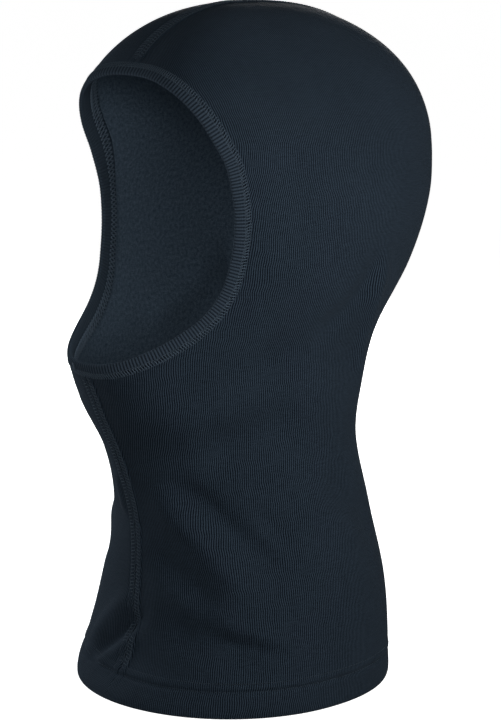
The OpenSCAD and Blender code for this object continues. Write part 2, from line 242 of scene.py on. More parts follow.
def skin_normal(turn, climb):
    across = skin(turn + NUDGE, climb) - skin(turn - NUDGE, climb)
    up = skin(turn, np.minimum(climb + NUDGE, DOME_END)) - skin(turn, np.maximum(climb - NUDGE, 0))
    return unit(np.cross(across, up))


def face_skin(x, z):
    """The outer surface over the point (x, z) of the front."""
    half_width, front, _, middle, squareness = section(z)
    y = middle - front * np.maximum(1 - (np.abs(x) / half_width) ** squareness, 1e-6) ** (1 / squareness)
    return np.stack([x, y, z], -1)


def face_normal(x, z):
    across = face_skin(x + NUDGE, z) - face_skin(x - NUDGE, z)
    up = face_skin(x, z + NUDGE) - face_skin(x, z - NUDGE)
    return unit(np.cross(across, up))


def rim_xz(angle):
    """The panels' edge round the face opening, from the chin past the wearer's left and over the top."""
    s, c = np.sin(np.radians(angle)), np.cos(np.radians(angle))
    half_height = np.where(c > 0, OPENING_MIDDLE - OPENING_BOTTOM, OPENING_TOP - OPENING_MIDDLE)
    e = OPENING_SQUARENESS
    r = ((np.abs(s) / OPENING_HALF_WIDTH) ** e + (np.abs(c) / half_height) ** e) ** (-1 / e)
    return r * s, OPENING_MIDDLE - r * c


def rim_point(angle):
    return face_skin(*rim_xz(angle))


def rim_inward(angle):
    """Direction along the cloth from the rim towards the middle of the opening."""
    return unit(np.cross(face_normal(*rim_xz(angle)), rim_point(angle + NUDGE) - rim_point(angle - NUDGE)))


def beside_rim(angle, inward, lift):
    """Places beside the rim: `inward` along the cloth towards the opening, `lift` off its outer face."""
    start, across = rim_point(angle), rim_inward(angle)
    back = np.minimum(inward, 0)
    x = start[:, 0] + across[:, 0] * back
    z = start[:, 2] + across[:, 2] * back
    ahead = np.maximum(inward, 0)
    return face_skin(x, z) + across * ahead[:, None] + face_normal(x, z) * lift[:, None]


def run_along(points):
    """Length from the first point to each point."""
    return np.concatenate([[0], np.cumsum(np.linalg.norm(np.diff(points, axis=0), axis=1))])


# ---------------------------------------- cloth coordinates

TABLE_TURNS = np.arange(0, 181, 1.0)
TABLE_CLIMBS = np.append(np.arange(0, DOME_END - 1, 2.0), DOME_END - 0.5)


def cloth_tables():
    """Lengths across the wales, from the middle of the side, and along them, up each direction."""
    turns, climbs = np.meshgrid(TABLE_TURNS, TABLE_CLIMBS)
    points = skin(turns, climbs)
    around = np.linalg.norm(np.diff(points, axis=1), axis=2)
    across = np.pad(np.cumsum(around, axis=1), ((0, 0), (1, 0)))
    across -= across[:, TABLE_TURNS == 90]
    upward = np.linalg.norm(np.diff(points, axis=0), axis=2)
    along = np.pad(np.cumsum(upward, axis=0), ((1, 0), (0, 0)))
    return across, along


ACROSS_TABLE, ALONG_TABLE = cloth_tables()


def look_up(table, turn, climb):
    column = np.clip(turn, 0, 179.999)
    i = column.astype(int)
    s = column - i
    j = np.clip(np.searchsorted(TABLE_CLIMBS, climb, side="right") - 1, 0, len(TABLE_CLIMBS) - 2)
    t = np.clip((climb - TABLE_CLIMBS[j]) / (TABLE_CLIMBS[j + 1] - TABLE_CLIMBS[j]), 0, 1)
    low = table[j, i] * (1 - s) + table[j, i + 1] * s
    high = table[j + 1, i] * (1 - s) + table[j + 1, i + 1] * s
    return low * (1 - t) + high * t


# ---------------------------------------- meshes

def add_object(name, data):
    thing = bpy.data.objects.new(name, data)
    bpy.context.scene.collection.objects.link(thing)
    return thing


def new_mesh(name, points, faces, uv, materials, face_material=None):
    """A mesh object. points and uv, each point's cloth coordinates, are in millimetres."""
    mesh = bpy.data.meshes.new(name)
    mesh.from_pydata((points * MM).tolist(), [], faces, shade_flat=False)
    for material in materials:
        mesh.materials.append(material)
    if face_material is not None:
        mesh.polygons.foreach_set("material_index", face_material)
    layer = mesh.uv_layers.new(name="cloth")
    corners = np.zeros(len(mesh.loops), dtype=np.int32)
    mesh.loops.foreach_get("vertex_index", corners)
    layer.data.foreach_set("uv", uv.astype(np.float32)[corners].ravel())
    mesh.update()
    return add_object(name, mesh)


def ring_faces(rings, sides, closed):
    """Four-cornered faces between rings of `sides` corners, and the ends of an open tube."""
    faces = []
    for i in range(rings if closed else rings - 1):
        j = (i + 1) % rings
        for k in range(sides):
            m = (k + 1) % sides
            faces.append((i * sides + k, j * sides + k, j * sides + m, i * sides + m))
    if not closed:
        faces.append(tuple(range(sides)))
        faces.append(tuple((rings - 1) * sides + k for k in range(sides - 1, -1, -1)))
    return faces


def thread_tube(points, normals, radius, closed):
    """A round thread along `points`: its corners, faces and cloth coordinates."""
    before = np.roll(points, 1, axis=0)
    after = np.roll(points, -1, axis=0)
    if not closed:
        before[0] = points[0]
        after[-1] = points[-1]
    forward = unit(after - before)
    out = unit(normals - forward * np.sum(normals * forward, axis=1, keepdims=True))
    aside = np.cross(forward, out)
    angles = np.linspace(0, math.tau, THREAD_SIDES, endpoint=False)
    rings = (
        points[:, None]
        + aside[:, None] * (np.cos(angles) * radius)[:, None]
        + out[:, None] * (np.sin(angles) * radius)[:, None]
    )
    steps = np.linalg.norm(after - before, axis=1) / 2
    run = np.cumsum(steps) - steps[0]
    uv = np.stack([np.repeat(run, THREAD_SIDES), np.tile(angles * radius, len(points))], axis=1)
    return rings.reshape(-1, 3), ring_faces(len(points), THREAD_SIDES, closed), uv


def join_tubes(name, tubes, material):
    points, faces, uv = [], [], []
    offset = 0
    for tube_points, tube_faces, tube_uv in tubes:
        points.append(tube_points)
        uv.append(tube_uv)
        faces.extend(tuple(i + offset for i in face) for face in tube_faces)
        offset += len(tube_points)
    return new_mesh(name, np.concatenate(points), faces, np.concatenate(uv), [material])


# ---------------------------------------- folds and seams in the cloth

CREASE_POINTS = 24
BEHIND = 140

# Creases in the cloth: (direction, height) places along each, its height off the cloth and its half-width.
# A direction below 0 is on the wearer's right. Past BEHIND, on either side, a crease may cross the back.
CREASES = [
    ([(8, 122), (21, 110), (34, 95), (47, 78), (62, 60)], 4.8, 9),
    ([(16, 131), (34, 117), (46, 104), (57, 92), (67, 82), (80, 72)], -4.4, 7.5),
    ([(6, 88), (24, 76), (36, 66), (46, 55)], -3.4, 8),
    ([(57, 116), (65, 104), (72, 94), (80, 86)], -2.0, 5),
    ([(12, 47), (32, 43), (50, 36), (70, 29)], -4.8, 11),
    ([(35, 47), (46, 42), (61, 38), (77, 30)], -1.5, 3.5),
    ([(42, 52), (57, 46), (75, 37)], 1.8, 5),
    ([(121, 262), (123, 230), (127, 208), (127, 187), (134, 160)], 3.4, 7),
    ([(119, 255), (113, 229), (103, 215), (84, 208)], -3.6, 8),
    ([(88, 206), (67, 193), (44, 180), (22, 171)], -3.6, 13),
    ([(30, 148), (48, 152), (66, 158), (88, 168)], -5.0, 15),
    ([(95, 132), (110, 113), (136, 88)], -2.0, 10),
    ([(73, 120), (96, 103), (121, 80)], 2.0, 10),
    ([(12, 50), (2, 43), (-10, 30), (-20, 20), (-29, 11)], -3.4, 5),
    ([(2, 58), (-9, 50), (-20, 38), (-29, 25), (-35, 14)], 2.2, 6),
    ([(6, 36), (-2, 30), (-11, 20), (-19, 9)], 1.9, 5.5),
    ([(-6, 130), (-8, 116), (-7, 100)], 1.2, 4),
    ([(-66, 122), (-54, 104), (-40, 92), (-30, 86)], 2.0, 9),
    ([(-70, 108), (-56, 88), (-44, 76), (-34, 70)], -1.8, 8),
    ([(-118, 250), (-124, 222), (-128, 196), (-138, 170)], 3.6, 7),
    ([(-110, 240), (-106, 220), (-88, 208), (-66, 200)], -2.8, 9),
    ([(-100, 60), (-84, 48), (-62, 42), (-44, 44)], -2.4, 8),
    ([(150, 120), (165, 104), (-176, 92)], 2.2, 8),
    ([(-142, 128), (-160, 112), (-178, 104)], -2.0, 8),
]


def curve_through(places):
    """Even shares along a smooth curve through a few places."""
    places = np.asarray(places, float)
    ends = np.vstack([2 * places[0] - places[1], places, 2 * places[-1] - places[-2]])
    at = np.linspace(0, len(places) - 1, CREASE_POINTS)
    i = np.minimum(at.astype(int), len(places) - 2)
    t = (at - i)[:, None]
    a, b, c, d = ends[i], ends[i + 1], ends[i + 2], ends[i + 3]
    return b + 0.5 * t * (c - a + t * (2 * a - 5 * b + 4 * c - d + t * (3 * (b - c) + d - a)))


def on_skin(turn, climb):
    """The skin in any direction, where one below 0 is on the wearer's right."""
    turn = np.asarray(turn, float)
    wrapped = np.where(turn > 180, turn - 360, np.where(turn < -180, turn + 360, turn))
    place = skin(np.abs(wrapped), climb)
    place[..., 0] *= np.where(wrapped < 0, -1, 1)
    return place


def line_distance(points, line):
    """Distance from points to a line of points, and the share of the line's length at the nearest place."""
    best = np.full(len(points), 1e9)
    share = np.zeros(len(points))
    lengths = np.linalg.norm(np.diff(line, axis=0), axis=1)
    start = 0.0
    for a, b, length in zip(line[:-1], line[1:], lengths):
        d = (b - a) / length
        t = np.clip((points - a) @ d, 0, length)
        gap = np.linalg.norm(points - a - d * t[:, None], axis=1)
        closer = gap < best
        best = np.where(closer, gap, best)
        share = np.where(closer, (start + t) / lengths.sum(), share)
        start += length
    return best, share


def crease_relief(points):
    relief = np.zeros(len(points))
    for places, height, width in CREASES:
        curve = curve_through([(turn % 360 if abs(turn) > BEHIND else turn, z) for turn, z in places])
        line = on_skin(curve[:, 0], climb_at(curve[:, 1]))
        centre = line.mean(0)
        reach = np.linalg.norm(line - centre, axis=1).max() + 4 * width
        near = np.linalg.norm(points - centre, axis=1) < reach
        gap, share = line_distance(points[near], line)
        taper = smooth(0, 0.3, share) * (1 - smooth(0.7, 1, share))
        relief[near] += height * bell(gap, width) * taper
    return relief


def slow_waves(points):
    """A slight unevenness that filled cloth keeps."""
    x, y, z = points.T
    return (
        0.35 * np.sin(x / 23 + z / 41 + y / 37 + 0.4)
        + 0.25 * np.sin(y / 17 - z / 27 + x / 31 + 1.7)
        + 0.15 * np.sin(z / 13 + y / 29 - x / 19)
    )


RIM_ANGLES = np.linspace(0, 360, 721)
RIM_LINE = rim_point(RIM_ANGLES)
GAP_BLOCK = 4000


def nearest_gap(points, targets):
    """Distance from each point to the nearest target, worked out a block of points at a time."""
    gap = np.empty(len(points))
    for start in range(0, len(points), GAP_BLOCK):
        block = points[start:start + GAP_BLOCK]
        gap[start:start + GAP_BLOCK] = np.sqrt(((block[:, None] - targets[None]) ** 2).sum(2).min(1))
    return gap


def cloth_relief(points, rim_gap=None):
    """How far creases and unevenness lift the cloth off its plain skin.

    They fade out at the rim, rim_gap away, and at the hem's fold.
    """
    flat = points.reshape(-1, 3)
    if rim_gap is None:
        rim_gap = nearest_gap(flat, RIM_LINE)
    calm = smooth(0, 14, rim_gap.ravel()) * smooth(0, 10, flat[:, 2])
    return (calm * (slow_waves(flat) + crease_relief(flat))).reshape(points.shape[:-1])


def groove(distance, depth, width):
    return -depth * bell(distance, width)


def raised(distance, height, start, end):
    """Cloth lifted by `height` up to `start`, and less from there to `end`."""
    return height * (1 - smooth(start, end, distance))


def hem_rise(turn):
    """How much deeper the hem is towards the sides."""
    return HEM_RISE * np.sin(np.radians(turn)) ** 2


def seam_relief(points, rim_gap, rise):
    """Height of the cloth over its own surface beside the rim, the centre seams and the hem's stitching."""
    aside = np.abs(points[..., 0])
    z = points[..., 2]
    level = z - rise
    rim = groove(rim_gap, 0.3, 0.5) + raised(rim_gap, 0.3, 4.8, 6.4) + groove(rim_gap - 2.2, 0.15, 0.5)
    centre = (
        raised(aside, 0.45, FLATLOCK_HALF, FLATLOCK_HALF + 1.2)
        + groove(aside, 0.75, 0.8)
        + groove(aside - FLATLOCK_HALF - 1.2, 0.25, 0.8)
    )
    centre = centre * smooth(1, 3, rim_gap) * smooth(HEM_DEPTH * 0.2, HEM_DEPTH, z)
    hem = (
        raised(level, 0.5, HEM_DEPTH - 0.5, HEM_DEPTH + 1.5)
        + groove(level - HEM_SEAM - HEM_REACH, 0.45, 0.9)
        + groove(level - HEM_SEAM + HEM_REACH, 1.2, 1.2)
        - groove(z - 6, 0.3, 4)
    )
    return rim + centre + hem


# ---------------------------------------- side panels

def panel_rows():
    """Direction of each row's front end, climb at its front end, climb at its back end."""
    fold = [0, 0.12, 0.4, 0.75, FABRIC]
    hem = np.concatenate([fold, np.arange(2.0, HEM_DEPTH + HEM_RISE + 2.1, HEM_ROW_STEP)])
    neck_count = round((OPENING_BOTTOM - hem[-1]) / ROW_STEP)
    neck = np.concatenate([hem, np.linspace(hem[-1], OPENING_BOTTOM, neck_count)[1:]])
    rim_count = round((BACK_TOP - OPENING_BOTTOM) / ROW_STEP) + 6
    fine = np.linspace(0, 180, 721)
    run = run_along(rim_point(fine))
    angles = np.interp(np.linspace(0, run[-1], rim_count + 1)[1:], run, fine)
    x, z = rim_xz(angles)
    middle = section(z)[3]
    turns = np.degrees(np.arctan2(x, middle - face_skin(x, z)[:, 1]))
    turns[-1] = 0
    crown_count = round(DOME_ARC * 0.7 / ROW_STEP)
    share = np.arange(1, crown_count + 1) / (crown_count + 0.4)
    return np.concatenate([
        np.stack([np.zeros(len(neck)), neck, neck], 1),
        np.stack([turns, climb_at(z), np.linspace(OPENING_BOTTOM, BACK_TOP, rim_count + 1)[1:]], 1),
        np.stack([
            np.zeros(crown_count),
            climb_at(OPENING_TOP) + (DOME_END - climb_at(OPENING_TOP)) * share,
            BACK_TOP + (DOME_END - BACK_TOP) * share,
        ], 1),
    ])


def hem_round(z):
    """How far both faces curl in at the hem's folded edge. They stop just short of each other."""
    t = np.clip(z / FABRIC, 0, 1)
    return 0.9 * FABRIC * (1 - np.sqrt(1 - (1 - t) ** 2))


def panel_grid():
    """Direction and climb of a panel's points, in rows from its front edge to its back edge."""
    rows = panel_rows()
    k = np.arange(PANEL_COLUMNS + 1) / PANEL_COLUMNS
    share = EVEN_COLUMNS * k + (1 - EVEN_COLUMNS) * (1 - np.cos(math.pi * k)) / 2
    blend = share * share * (3 - 2 * share)
    turn = rows[:, :1] + (180 - rows[:, :1]) * share
    climb = rows[:, 1:2] + (rows[:, 2:] - rows[:, 1:2]) * blend
    return turn, climb


def panel_layers(turn, climb, side):
    """The outer and inner face of a panel's cloth, placed as on the wearer's left."""
    flat = skin(turn, climb)
    normal = skin_normal(turn, climb)
    normal[flat[..., 2] < 0.01, 2] = 0
    normal = unit(normal)
    z = flat[..., 2]
    targets = rim_point(np.linspace(-2, 182, 460))
    rim_gap = nearest_gap(flat.reshape(-1, 3), targets).reshape(turn.shape)
    rise = hem_rise(turn)
    relief = seam_relief(flat, rim_gap, rise) + cloth_relief(flat * [side, 1, 1], rim_gap)
    relief = relief * smooth(0, 3, z)
    curl = hem_round(z)
    thickness = FABRIC * (2 - smooth(HEM_DEPTH, HEM_DEPTH + 0.8, z - rise))
    outer = flat + normal * (relief - curl)[..., None]
    inner = flat + normal * (relief - thickness + curl)[..., None]
    for layer in (outer, inner):
        layer[..., 2] = np.maximum(layer[..., 2], 0)
        layer[..., 0] = np.maximum(layer[..., 0], 0) + SEAM_GAP
    return outer, inner


def side_panel(name, side, materials):
    """One closed panel with both faces and its edges. side is 1 for the wearer's left, -1 for the right."""
    turn, climb = panel_grid()
    outer, inner = panel_layers(turn, climb, side)
    crown_y, crown_z = skin(0.0, DOME_END)[1], HOOD_HEIGHT - 0.1
    crown = [[SEAM_GAP, crown_y, crown_z], [SEAM_GAP, crown_y, crown_z - FABRIC]]
    points = np.concatenate([outer.reshape(-1, 3), inner.reshape(-1, 3), crown])
    points[:, 0] *= side
    across, along = look_up(ACROSS_TABLE, turn, climb), look_up(ALONG_TABLE, turn, climb)
    uv = np.stack([across.ravel(), along.ravel()], 1)
    uv = np.concatenate([uv, uv, [[0, along.max()], [0, along.max()]]])
    faces, kinds = panel_faces(*turn.shape)
    if side < 0:
        faces = [face[::-1] for face in faces]
    return new_mesh(name, points, faces, uv, materials, kinds)


def panel_faces(count, width):
    """Faces of a panel's grid, and whether each is on the outer face (0) or the inner one (1)."""
    inner = count * width
    crown = 2 * count * width
    faces, kinds = [], []

    def add(kind, *corners):
        faces.append(corners)
        kinds.append(kind)

    for i in range(count - 1):
        for k in range(width - 1):
            a, b, c, d = i * width + k, i * width + k + 1, (i + 1) * width + k + 1, (i + 1) * width + k
            add(0, a, b, c, d)
            add(1, inner + d, inner + c, inner + b, inner + a)
        a, d = i * width, (i + 1) * width
        add(0, a, d, inner + d, inner + a)
        a, d = a + width - 1, d + width - 1
        add(0, d, a, inner + a, inner + d)
    last = (count - 1) * width
    for k in range(width - 1):
        add(0, last + k, last + k + 1, crown)
        add(1, inner + last + k + 1, inner + last + k, crown + 1)
        add(0, k + 1, k, inner + k, inner + k + 1)
    add(0, last, crown, crown + 1, inner + last)
    add(0, crown, last + width - 1, inner + last + width - 1, crown + 1)
    return faces, kinds


# ---------------------------------------- binding

def binding_section():
    """Outline of the doubled band and its allowance, as (inward, lift, how much the ribs show)."""
    band, half = BAND_WIDTH, BAND_THICKNESS / 2
    under = -FABRIC - 0.15
    outline = [
        (0.08, -0.3, 0.2), (0.2, 0.1, 0.5), (0.6, 0.35, 1), (1.3, 0.6, 1), (2.2, 0.8, 1), (3.2, 0.88, 1),
        (4.1, 0.8, 1),
    ]
    centre = (band - half - 0.1, -0.45)
    for angle in range(75, -120, -15):
        turned = math.radians(angle)
        outline.append((centre[0] + half * math.cos(turned), centre[1] + half * math.sin(turned), 1))
    outline += [
        (3.6, -1.85, 0.8), (2.2, -2.0, 0.7), (0.9, -2.1, 0.6), (-0.6, -2.2, 0.4), (-2.6, -2.25, 0.4),
        (-ALLOWANCE + 0.5, -2.25, 0.4), (-ALLOWANCE, -1.95, 0.3), (-ALLOWANCE, under - 0.2, 0),
        (-ALLOWANCE + 0.4, under, 0), (-2.5, under, 0), (0.1, under, 0),
    ]
    return np.array(outline)


def rim_frames():
    """Steps round the rim, RIB_STEPS to each rib: each one's angle and how far along the band it is."""
    fine = np.linspace(0, 360, 2881)
    steps = np.linalg.norm(np.diff(rim_point(fine), axis=0), axis=1)
    steps *= 1 - RIB_SPREAD * bell(fine[1:] - RIB_SPREAD_AT, RIB_SPREAD_OVER)
    run = np.concatenate([[0], np.cumsum(steps)])
    count = round(run[-1] / RIB_PITCH) * RIB_STEPS
    at = np.arange(count) * run[-1] / count
    return np.interp(at, run, fine), at


def face_binding(material):
    """The rib band round the opening: its outline carried along the rim, with a ridge for each rib."""
    angles, run = rim_frames()
    outline = binding_section()
    phase = np.arange(len(angles)) / RIB_STEPS
    ridge = RIB_HEIGHT * (1 - 1.9 * np.abs(np.sin(math.pi * phase)) ** 3)
    ease = 0.9 * np.sin(np.radians(angles)) ** 2 + 0.12 * np.sin(run / 23) + 0.08 * np.sin(run / 9.1 + 1)
    sides = len(outline)
    middle = np.array([BAND_WIDTH * 0.45, -0.75])
    points = np.zeros((len(angles), sides, 3))
    for k, (inward, lift, show) in enumerate(outline):
        away = unit(np.array([inward, lift]) - middle)
        if inward < 0:
            away = np.array([0, -1 if lift < -FABRIC - 0.5 else 0])
        reach = inward + ridge * show * away[0] + (ease if inward > 3 else 0)
        rise = lift + ridge * show * away[1]
        points[:, k] = beside_rim(angles, reach, rise)
    uv = np.stack([np.repeat(phase * RIB_PITCH, sides), np.tile(run_along(outline[:, :2]), len(angles))], 1)
    faces = ring_faces(len(angles), sides, True)
    return new_mesh("rib_binding", points.reshape(-1, 3), faces, uv, [material])


# ---------------------------------------- stitching

def even_path(points, normals, asides, step, closed):
    """Even steps of about `step` along a path of places, normals and side directions."""
    if closed:
        points, normals, asides = (np.concatenate([a, a[:1]]) for a in (points, normals, asides))
    run = run_along(points)
    count = round(run[-1] / step)
    at = np.linspace(0, run[-1], count + 1)[: count if closed else count + 1]
    points, normals, asides = (
        np.stack([np.interp(at, run, column) for column in a.T], 1) for a in (points, normals, asides)
    )
    return points, unit(normals), unit(asides), at


def join_path():
    angles = RIM_ANGLES[:-1]
    return rim_point(angles), face_normal(*rim_xz(angles)), rim_inward(angles)


def face_path(inward):
    angles = RIM_ANGLES[:-1]
    inward = np.full(len(angles), inward)
    start = beside_rim(angles, inward, np.zeros(len(angles)))
    out = unit(beside_rim(angles, inward, np.ones(len(angles))) - start)
    return start + out * cloth_relief(start)[:, None], out, rim_inward(angles)


def hem_path():
    turns = np.linspace(0, 360, 361)[:-1]
    levels = HEM_SEAM + hem_rise(turns)
    start = skin(turns, levels)
    out = skin_normal(turns, levels)
    start = start + out * cloth_relief(start)[:, None]
    return start, out, unit(np.cross(out, np.roll(start, -1, 0) - np.roll(start, 1, 0)))


def centre_path(back, low, high, count=200):
    climbs = np.linspace(low, min(high, DOME_END - 0.3), count)
    turns = np.full(count, 180.0 if back else 0.0)
    start = skin(turns, climbs)
    out = skin_normal(turns, climbs)
    out[:, 0] = 0
    out = unit(out)
    return start + out * cloth_relief(start)[:, None], out, np.tile([1.0, 0, 0], (count, 1))


def crown_path():
    up = centre_path(False, climb_at(OPENING_TOP) + SEAM_START, DOME_END)
    down = centre_path(True, HEM_DEPTH, DOME_END, 400)
    return tuple(np.concatenate([a, b[::-1]]) for a, b in zip(up, down))


def lift_of(path_points, out, aside, across, lift, fall):
    height = lift - fall * (across / SEAM_FALL_AT) ** 2
    return path_points + aside * across[:, None] + out * height[:, None]


def whole_stitches(run, closed, stitch):
    """How many stitches come before each place, with a whole number of them in the row."""
    total = run[-1] + run[1] if closed else run[-1]
    return run / (total / round(total / stitch))


def straight_row(path, across, lift, stitch, closed, fall=0.0):
    """A row of straight stitches: a thread that dips into the cloth at the end of each stitch."""
    points, out, aside, run = even_path(*path, stitch / 6, closed)
    dip = lift - 0.7 * np.maximum(0, np.cos(math.tau * run / stitch)) ** 2
    places = lift_of(points, out, aside, np.full(len(points), across), dip, fall)
    return thread_tube(places, out, THREAD_RADIUS, closed)


def zigzag_row(path, half, lift, stitch, closed, radius, fall=0.0, offset=0.0, lean=0.0):
    """A thread that crosses the seam from side to side with rounded turns."""
    points, out, aside, run = even_path(*path, stitch / 10, closed)
    phase = whole_stitches(run, closed, stitch) + lean
    wave = np.clip(1.25 * (2 / math.pi) * np.arcsin(np.sin(math.tau * phase)), -1, 1)
    across = offset + half * wave
    places = lift_of(points, out, aside, across, lift - 0.18 * np.abs(wave) ** 4, fall)
    return thread_tube(places, out, radius, closed)


def ladder_row(path, inner, outer, lift, phase):
    """Separate bars across half of a flatlock seam. Between them the thread goes back under the cloth."""
    points, out, aside, run = even_path(*path, SEAM_STITCH / 14, False)
    t = (run / SEAM_STITCH + phase) % 1
    over = t < 0.5
    swing = np.where(over, 1 - 4 * t, 4 * (t - 0.5) - 1)
    across = (inner + outer) / 2 + (outer - inner) / 2 * swing
    height = np.where(over, lift + 0.25 * np.sin(math.tau * t), lift - 0.9)
    places = lift_of(points, out, aside, across, height, SEAM_FALL)
    return thread_tube(places, out, THREAD_RADIUS * 1.1, False)


def slanted_bars(path, half, lift, rise):
    """Short slanted stitches over the join of panels and band, with the thread under the cloth in between."""
    points, out, aside, run = even_path(*path, FACE_STITCH / 14, True)
    phase = whole_stitches(run, True, FACE_STITCH) % 1
    seen = 0.62
    over = phase < seen
    across = half * np.where(over, 1 - 2 * phase / seen, 2 * (phase - seen) / (1 - seen) - 1)
    arch = np.where(over, 0.35 * np.sin(math.pi * np.clip(phase / seen, 0, 1)), -0.75)
    height = lift + rise * smooth(-0.6, 1.0, across) + arch
    places = points + aside * across[:, None] + out * height[:, None]
    return thread_tube(places, out, THREAD_RADIUS * 1.35, True)


def face_stitching(material, cover_material, looper_material):
    """The face coverstitch: bars and two needle rows over the join outside, and a braid of loops inside."""
    join, under = join_path(), face_path(-LOOPER_HALF - 0.5)
    step_up = BAND_THICKNESS / 4
    bars = slanted_bars(join, COVERSTITCH_HALF * 0.8, 0.1, step_up)
    on_band = straight_row(join, 1.5, step_up + 0.1, FACE_STITCH, True)
    on_panel = straight_row(join, -1.6, 0.25, FACE_STITCH, True)
    half = LOOPER_HALF / 2
    loops = [
        zigzag_row(under, half, -2.6, LOOPER_STITCH, True, THREAD_RADIUS * 2.1, 0, offset, lean)
        for offset, lean in ((half, 0.0), (-half, 0.5))
    ]
    return (
        join_tubes("face_cover_stitches", [bars], cover_material),
        join_tubes("face_inner_needle_stitches", [on_band], material),
        join_tubes("face_outer_needle_stitches", [on_panel], material),
        join_tubes("face_looper_stitches", loops, looper_material),
    )


def flatlock(prefix, path, material, looper_material):
    """The four kinds of thread on a centre seam: ladder bars outside, needle rows, and a looper inside."""
    bars = [
        ladder_row(path, 0.8 * side, FLATLOCK_HALF * side, 0.32, phase)
        for side, phase in ((1, 0.0), (-1, 0.5))
    ]
    left, right = (
        [
            straight_row(path, across * side, lift, SEAM_STITCH, False, SEAM_FALL)
            for across, lift in ((0.75, 0.45), (FLATLOCK_HALF - 0.3, 0.5))
        ]
        for side in (1, -1)
    )
    loops = [
        zigzag_row(path, half, -FABRIC - depth, SEAM_STITCH, False, THREAD_RADIUS * 1.2, SEAM_FALL, lean=lean)
        for half, depth, lean in ((FLATLOCK_HALF, 0.25, 0.0), (FLATLOCK_HALF * 0.6, 0.4, 0.3))
    ]
    return (
        join_tubes(prefix + "_cover_stitches", bars, material),
        join_tubes(prefix + "_left_needle_stitches", left, material),
        join_tubes(prefix + "_right_needle_stitches", right, material),
        join_tubes(prefix + "_looper_stitches", loops, looper_material),
    )


def hem_stitching(material):
    """The hem coverstitch: two needle rows outside, and a looper over the raw edge inside."""
    path = hem_path()
    upper = straight_row(path, HEM_REACH, 0.1, HEM_STITCH, True)
    lower = straight_row(path, -HEM_REACH, -0.6, HEM_STITCH, True)
    inside = -2 * FABRIC
    loops = [
        zigzag_row(path, HEM_REACH, inside - 0.1, HEM_STITCH, True, THREAD_RADIUS * 1.2),
        zigzag_row(path, HEM_REACH * 0.7, inside - 0.25, HEM_STITCH, True, THREAD_RADIUS, lean=0.3),
    ]
    return (
        join_tubes("hem_upper_needle_stitches", [upper], material),
        join_tubes("hem_lower_needle_stitches", [lower], material),
        join_tubes("hem_looper_stitches", loops, material),
    )


def bartack(material):
    """Dense stitches over the lap of the binding's ends, beside the chin."""
    swings, reach, at = 13, 0.55, -5
    share = np.linspace(0, 1, 160)
    angle = np.sin(math.tau * share * swings) * reach + at
    inward = 1.4 + (BAND_WIDTH - 2.8) * share
    places = beside_rim(angle, inward, np.full(len(share), 1.15))
    out = face_normal(*rim_xz(angle))
    return join_tubes("bartack_stitches", [thread_tube(places, out, THREAD_RADIUS * 1.2, False)], material)


# ---------------------------------------- materials

